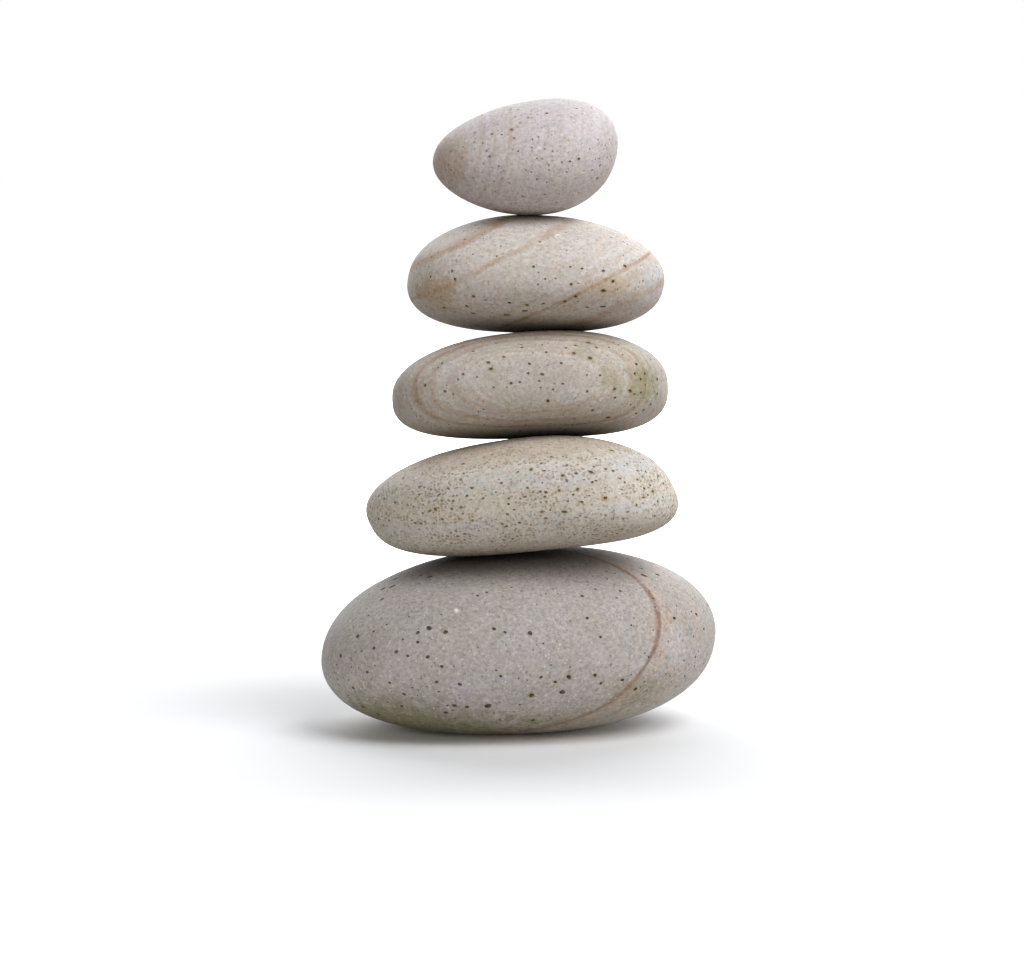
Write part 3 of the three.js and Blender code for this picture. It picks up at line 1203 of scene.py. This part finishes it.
BASE = Stone(
    node="base_stone",
    form=PebbleForm(120.2, 98, 55.8, 2.19, 2.3, 1.9, 0.008, 0.0, 0.19, 0.1, 0, 0),
    finish=SandstoneFinish(
        ground=(174, 168, 164),
        band=(186, 172, 160),
        band_strength=0.25,
        bedding=(0.416, 0.767, -0.488),
        spacing=5.0,
        waviness=1.0,
        veins=(
            Vein(-12.45, 1.2, 0.8, (138, 100, 76), 0.25),
            Vein(-9.3, 2.4, 0.4, (196, 164, 140), 0.6),
            Vein(-2.5, 1.6, 0.35, (190, 164, 142), 0.5),
            Vein(3.5, 2.0, 0.35, (190, 160, 136), 0.5),
        ),
        stains=(
            Stain((43.6, -30.9, 9.9), (9, 14, 11), 0.25, (192, 160, 136), 0.6),
            Stain((46, -29.7, 5), (6, 10, 9), 0.55, (192, 190, 192), 0.5),
            Stain((-34, -34, -20), (44, 40, 16), 0.75, (108, 104, 62)),
            Stain((2, -44, -23), (34, 30, 10), 0.6, (108, 104, 62)),
            Stain((36, -36, -9), (17, 20, 8), 0.4, (126, 118, 78), 0.6),
            Stain((24, -36, -19), (36, 30, 10), 0.4, (128, 120, 84), 0.5),
            Stain((-56, -8, -12), (9, 16, 9), 0.45, (126, 120, 76), 0.5),
            Stain((-18.8, -41.6, 16.4), (1.1, 6, 0.8), 0.9, (238, 234, 230), 0.2),
        ),
        speckles=(Speckle((1.0, 1.0, 0.8), 0.14, (12, 12, 12), 0.5, (128, 110, 88)),),
        grain_contrast=0.27,
        dark_grains=0.4,
        pale_grains=0.42,
    ),
    scatter=PitScatter(coarse_density=0.013, fine_density=0.08, seed=11),
    pits=Pit.lined(
        Lining.DARK,
        *((-48.4, 7.4, 1.3), (-43.5, 9.4, 0.9), (-53.6, 1.2, 1.3), (-26.9, 11.4, 1.6), (-21.9, 10.5, 1.4)),
        *((-30.2, 10.0, 1.1), (-36.5, 4.3, 1.1), (-27.2, 3.3, 1.1), (-23.0, 0.6, 1.1), (-45.3, -2.4, 0.9)),
        *((3.0, 10.3, 1.4), (12.6, -7.6, 1.6), (-15.6, -11.9, 1.2), (-19.3, -11.5, 1.3), (-21.9, -14.0, 1.2)),
        *((-5.6, -2.2, 0.9), (-12.5, 20.3, 0.9), (-9.8, 21.1, 0.9), (-38.6, 20.5, 1.8, 1.5)),
        *((-41.2, 19.6, 1.5),),
        *((-37.8, 21.8, 1.6), (-27.0, 23.9, 1.7), (-29.7, 23.9, 1.4), (-41.4, 17.5, 1.3), (-49.7, -8.0, 1.1)),
        *((-38.5, -5.0, 0.9), (-17.7, -4.7, 1.1), (23.9, 8.6, 0.9), (46.4, 12.0, 1.1), (55.8, 7.2, 0.9)),
        *((30.5, -4.7, 1.1), (-9.4, -11.6, 1.9), (-7.6, 11.5, 1.1), (-30.1, 7.4, 0.9), (-24.5, -4.1, 1.1)),
        *((-4.4, 10.6, 0.9), (-33.1, 3.3, 0.9), (6.3, -2.7, 0.9), (-43.3, 4.8, 1.1), (-34.3, -8.3, 1.1)),
        *((53.5, 11.8, 1.1), (30.1, 20.6, 0.9), (20.0, 14.0, 1.0), (18.6, 19.9, 0.9), (-35.0, -12.4, 1.0)),
    )
    + Pit.lined(
        Lining.MOSS,
        *((3.5, -8.3, 1.4), (14.5, -2.9, 1.3), (4.0, -16.9, 1.3), (10.5, -4.3, 0.9), (-42.3, -16.5, 1.4)),
        *((-47.0, -14.4, 1.4), (22.3, -2.7, 1.1), (24.1, -5.3, 0.9), (34.5, -8.1, 1.2), (-37.2, -19.5, 1.4)),
    ),
    # Painted shade on the top, where the second stone casts its shadow.
    crown_shade=ContactShade(0.96, 14.0),
)
SECOND = Stone(
    node="second_stone",
    form=PebbleForm(92.9, 75, 33.6, 2.54, 2.4, 3.2, 0.103, -0.18, -0.34, -0.12, 7.75, -5.5),
    finish=SandstoneFinish(
        ground=(212, 205, 195),
        band=(198, 182, 160),
        band_strength=0.35,
        bedding=(0.01, -0.07, 1.0),
        spacing=4.0,
        waviness=1.2,
        veins=(
            Vein(18.6, 5.0, 0.45, (190, 168, 148), 0.3),
            Vein(10.1, 4.0, 0.6, (200, 200, 200), 0.5),
            Vein(-1.9, 3.0, 0.4, (198, 198, 196), 0.5),
            Vein(-12.4, 6.0, 0.5, (188, 170, 152), 0.3),
        ),
        speckles=(
            Speckle((1.1, 1.1, 0.8), 0.65, (16, 16, 4), 0.7, (162, 140, 90)),
            Speckle((0.9, 0.9, 0.7), 0.4, (9, 9, 4), 0.62, (134, 112, 70)),
        ),
        grain_contrast=0.21,
        pale_grains=0.4,
        hollow=(130, 112, 66),
    ),
    scatter=PitScatter(
        coarse_density=0.016,
        fine_density=1.35,
        fine_diameters=(0.45, 1.0),
        belt=12.0,
        streak=(16.0, 16.0, 2.6),
        clumping=0.85,
        rust=0.55,
        moss=0.3,
        seed=21,
    ),
    pits=Pit.lined(
        Lining.DARK,
        *((-20.5, 2.1, 0.9), (-29.6, 7.6, 0.8), (-39.9, 1.0, 0.9), (-40.0, -3.6, 0.8), (-3.3, 2.9, 0.8)),
        *((-3.5, 1.3, 0.8), (-10.8, 4.0, 0.8), (-4.3, -1.7, 0.9), (0.4, 10.3, 0.8), (7.6, 11.9, 0.8)),
        *((10.9, 13.5, 0.8), (15.0, 10.3, 0.9), (26.3, 7.7, 0.9), (28.4, 6.8, 1), (15.7, 1.5, 0.8)),
    )
    + Pit.lined(
        Lining.RUST,
        *((-25.4, 2.6, 1.1), (39.4, -0.9, 1), (25.0, -0.8, 1.1), (11.8, 3.3, 0.8), (5.9, -2.3, 0.8)),
        *((28.8, -10.7, 0.8), (-18.7, -1.1, 0.7), (-23.1, 4.9, 0.7)),
    )
    + Pit.lined(
        Lining.MOSS,
        *((4.4, 10.5, 1), (13.4, 7.5, 1), (21.8, 7.4, 1.1, 1.8), (29.0, 12.9, 1.1, 1.6), (17.2, 2.9, 0.9)),
        *((12.4, -3.2, 1.1, 1.6), (33.9, -4.0, 0.7)),
    ),
)
THIRD = Stone(
    node="third_stone",
    form=PebbleForm(84.5, 68, 31.9, 2.52, 2.4, 2.7, 0.057, -0.06, 0.02, 0.09, 3, -9),
    finish=SandstoneFinish(
        ground=(198, 190, 181),
        band=(178, 151, 125),
        band_strength=0.5,
        bedding=(-0.068, 0.992, -0.078),
        spacing=1.8,
        waviness=2.4,
        veins=(
            Vein(-34.3, 2.6, 0.6, (188, 182, 176), 0.0),
            Vein(-29.9, 0.8, 0.35, (174, 144, 118), 0.7),
            Vein(-26.3, 0.9, 0.5, (174, 143, 114), 0.7),
            Vein(-22.6, 1.3, 0.65, (168, 136, 106), 0.5),
            Vein(-15.3, 5.0, 0.4, (178, 173, 172), 0.3),
        ),
        stains=(
            Stain((34.3, -20, -0.4), (10, 14, 9), 0.55, (136, 134, 84), 0.7),
            Stain((24, -26, 1.5), (7, 12, 5), 0.35, (142, 138, 90), 0.8),
            Stain((17, -27, 11), (5, 10, 4), 0.3, (142, 138, 94), 0.8),
            Stain((-21, -27, 5), (10, 16, 6), 0.5, (206, 203, 205), 0.8),
            Stain((-6, -29, 4), (7, 14, 5), 0.4, (206, 203, 205), 0.8),
            Stain((11, -31, -3), (9, 14, 3.5), 0.35, (206, 203, 205), 0.8),
        ),
        speckles=(Speckle((0.9, 0.9, 0.7), 0.15, (12, 12, 12), 0.4, (140, 112, 84)),),
        hollow=(96, 80, 52),
    ),
    scatter=PitScatter(
        coarse_density=0.035, fine_density=0.1, coarse_diameters=(0.8, 1.6), moss=0.3, seed=31
    ),
    pits=Pit.lined(
        Lining.DARK,
        *((-12.3, 7.7, 1.1), (-23.2, -1.1, 0.7), (3.5, 3.2, 1, 1.5), (9.5, 0.1, 0.8), (16.9, 2.5, 0.7)),
        *((20.8, 2.3, 0.8), (18.1, -7.8, 0.9), (38.2, -3.0, 0.8), (35.9, -6.2, 0.8), (25.0, -4.4, 0.8)),
        *((5.1, 10.0, 0.8), (28.1, 8.6, 0.7), (-14.4, -6.1, 0.7), (-0.1, 6.6, 0.9), (36.8, 7.6, 0.7)),
        *((16.7, -2.4, 0.8), (-18.7, 16.2, 1.0), (-25.6, -0.1, 0.9), (-26.1, 8.6, 0.8), (25.6, 12.9, 0.9)),
        *((-3.2, 1.2, 0.8), (31.4, -8.8, 0.9), (9.4, 6.3, 0.9), (-0.6, 3.7, 0.8), (33.6, -7.9, 0.9)),
        *((-2.0, 12.0, 0.8), (-16.7, 11.7, 0.8)),
    )
    + Pit.lined(
        Lining.RUST,
        *((-31.5, 2.2, 0.9), (4.9, -4.7, 1), (22.7, -9.9, 1.1, 1.6), (-7.6, 9.1, 0.8), (-5.8, 1.0, 0.8)),
        *((-20.0, 4.6, 0.8),),
    )
    + Pit.lined(
        Lining.MOSS,
        *((13.4, 9.3, 1.1), (18.1, 7.6, 1.1), (18.0, 12.7, 1.1, 1.6), (20.3, 11.1, 0.8), (14.0, 11.9, 0.8)),
        *((11.1, 11.2, 0.7), (29.7, -2.5, 1.1), (25.0, -1.9, 0.9), (33.0, -2.9, 0.7), (31.4, 2.8, 0.8)),
        *((34.5, 2.9, 0.8), (33.1, 1.2, 0.8), (38.4, 1.5, 0.9), (-11.6, 5.6, 1.1), (32.1, 5.7, 0.9)),
    ),
    # Painted shade on the underside, above the second stone.
    seat_shade=ContactShade(0.97, 9.5),
)
FOURTH = Stone(
    node="fourth_stone",
    form=PebbleForm(77.9, 64, 35.4, 2.3, 2.35, 2.7, -0.06, 0.15, 0.15, -0.08, -2.75, -4.5),
    finish=SandstoneFinish(
        ground=(216, 208, 202),
        band=(202, 188, 170),
        band_strength=0.4,
        bedding=(-0.497, -0.093, 0.863),
        spacing=6.0,
        waviness=0.8,
        veins=(
            Vein(21.7, 1.4, 0.6, (176, 134, 94), 0.3),
            Vein(12.7, 1.5, 0.5, (180, 140, 98), 0.5),
            Vein(-2.8, 1.2, 0.25, (182, 148, 112), 0.6),
            Vein(-6.8, 0.85, 0.7, (168, 122, 78), 0.6),
            Vein(-9.2, 3.5, 0.3, (192, 160, 118), 0.7),
            Vein(-16.3, 2.4, 0.45, (178, 140, 100), 0.5),
        ),
        stains=(
            Stain((-30, -19.7, -5), (12, 16, 7), 0.55, (180, 146, 102), 0.8),
            Stain((34, -12, 3), (10, 18, 13), 0.7, (210, 207, 205), 0.4),
            Stain((21, -27.9, -1.3), (11, 14, 5), 0.4, (182, 150, 106), 0.8),
            Stain((5.9, -23.6, 13.6), (1.4, 5, 0.9), 0.9, (240, 236, 230), 0.2),
        ),
        speckles=(Speckle((1.0, 1.0, 0.8), 0.25, (12, 12, 5), 0.5, (166, 134, 88)),),
        hollow=(96, 76, 46),
    ),
    scatter=PitScatter(coarse_density=0.015, fine_density=0.06, rust=0.7, seed=41),
    pits=Pit.lined(
        Lining.DARK,
        *((-24.1, -1.0, 1), (-20.2, -8.8, 1.2), (-18.2, -10.8, 1.3), (-2.8, -9.4, 1.3, 1.6), (-2.2, -7.7, 1)),
        *((-7.5, -7.3, 1), (2.6, -7.0, 1), (-0.9, 3.7, 1), (13.6, 3.8, 0.8), (19.9, 3.5, 1)),
        *((26.4, 5.4, 1), (20.4, -7.0, 1.3, 1.8), (15.8, -7.5, 0.8), (-21.9, 11.2, 0.8), (-31.5, -0.4, 0.8)),
        *((-25.1, 1.4, 0.9), (0.7, -1.5, 0.7)),
    )
    + Pit.lined(
        Lining.RUST,
        *((-8.1, -10.8, 1.4, 1.6), (10.6, -1.0, 0.8), (23.0, 0.6, 1), (20.3, -2.4, 1.3, 1.6)),
        *((12.1, -4.5, 1), (-18.3, -5.9, 1), (-27.1, -9.5, 1), (9.0, -6.1, 1.0)),
    ),
    # Painted shade on the top under the top stone, and on the underside above the third.
    crown_shade=ContactShade(0.7, 8.0),
    seat_shade=ContactShade(0.97, 8.0),
)
TOP = Stone(
    node="top_stone",
    form=PebbleForm(55.8, 46, 34.5, 2.11, 2.25, -0.45, 0.198, 0.0, 0.19, 0.06, 0.75, -1),
    finish=SandstoneFinish(
        ground=(215, 206, 206),
        band=(190, 176, 168),
        band_strength=0.35,
        bedding=(0.96, 0.2, -0.2),
        spacing=3.0,
        waviness=1.0,
        veins=(
            Vein(-9.5, 0.9, 0.35, (184, 160, 134), 0.5),
            Vein(-13.5, 0.8, 0.3, (184, 160, 134), 0.5),
            Vein(-17.0, 1.2, 0.3, (182, 158, 134), 0.5),
        ),
        stains=(
            Stain((-23, -12, -2), (11, 16, 11), 0.5, (176, 150, 122), 0.6),
            Stain((4.3, -23.1, 2.4), (1.0, 5, 0.8), 0.8, (236, 230, 228), 0.2),
        ),
        speckles=(
            Speckle((1.0, 1.0, 0.9), 0.2, (10, 10, 10), 0.5, (148, 124, 104)),
            Speckle((0.8, 0.8, 0.8), 0.12, (8, 8, 8), 0.5, (112, 98, 90)),
        ),
        hollow=(150, 130, 112),
    ),
    scatter=PitScatter(coarse_density=0.016, fine_density=0.15, coarse_diameters=(0.6, 1.2), seed=51),
    pits=Pit.lined(
        Lining.DARK,
        *((-8.0, -3.0, 0.7), (-2.1, 1.4, 0.7), (4.0, 5.6, 0.6), (19.3, 1.8, 0.6), (13.8, 11.4, 0.6)),
        *((-0.8, -12.0, 0.8), (6.3, -7.9, 0.6), (-22.3, 1.6, 0.6), (-22.2, -4.0, 0.6), (-13.0, -7.5, 0.6)),
        *((-7.0, 6.5, 0.7), (-12.7, 4.0, 0.6), (13.3, -1.8, 0.8), (3.4, -7.0, 0.8), (22.4, -3.1, 0.8)),
        *((-10.6, 0.0, 0.8), (2.0, 2.5, 0.7), (-3.3, 5.3, 0.8), (3.5, -0.8, 0.7), (-9.9, 6.6, 0.8)),
    )
    + Pit.lined(
        Lining.RUST,
        *((-4.0, 7.9, 0.9), (8.1, 1.3, 0.6), (16.0, -1.1, 0.8), (21.6, -7.0, 1), (6.6, 12.7, 0.8)),
    ),
    # Painted shade on the underside, above the fourth stone.
    seat_shade=ContactShade(0.4, 3.0),
)


def main() -> None:
    """Builds the studio and then the stack, from the ground up."""
    logging.basicConfig(level=logging.INFO, format="%(name)s: %(message)s")
    Studio().build()
    tree, groups = PebbleTree(), ShaderGroups()
    stones = (BASE, SECOND, THIRD, FOURTH, TOP)
    for stone in stones:
        piece = stone.build(tree, groups)
        pitted = sum(face.value > 0 for face in piece.data.attributes["pit"].data)
        LOG.info("%s: %d faces, %d of them in pits", piece.name, len(piece.data.polygons), pitted)
    # Paints shade into the colour of each pair of stones where they come close, standing in for the contact
    # shadows.
    for lower, upper in zip(stones, stones[1:]):
        lower.paint_contact_shade(upper, lower.crown_shade)
        upper.paint_contact_shade(lower, upper.seat_shade)


if __name__ == "__main__":
    main()
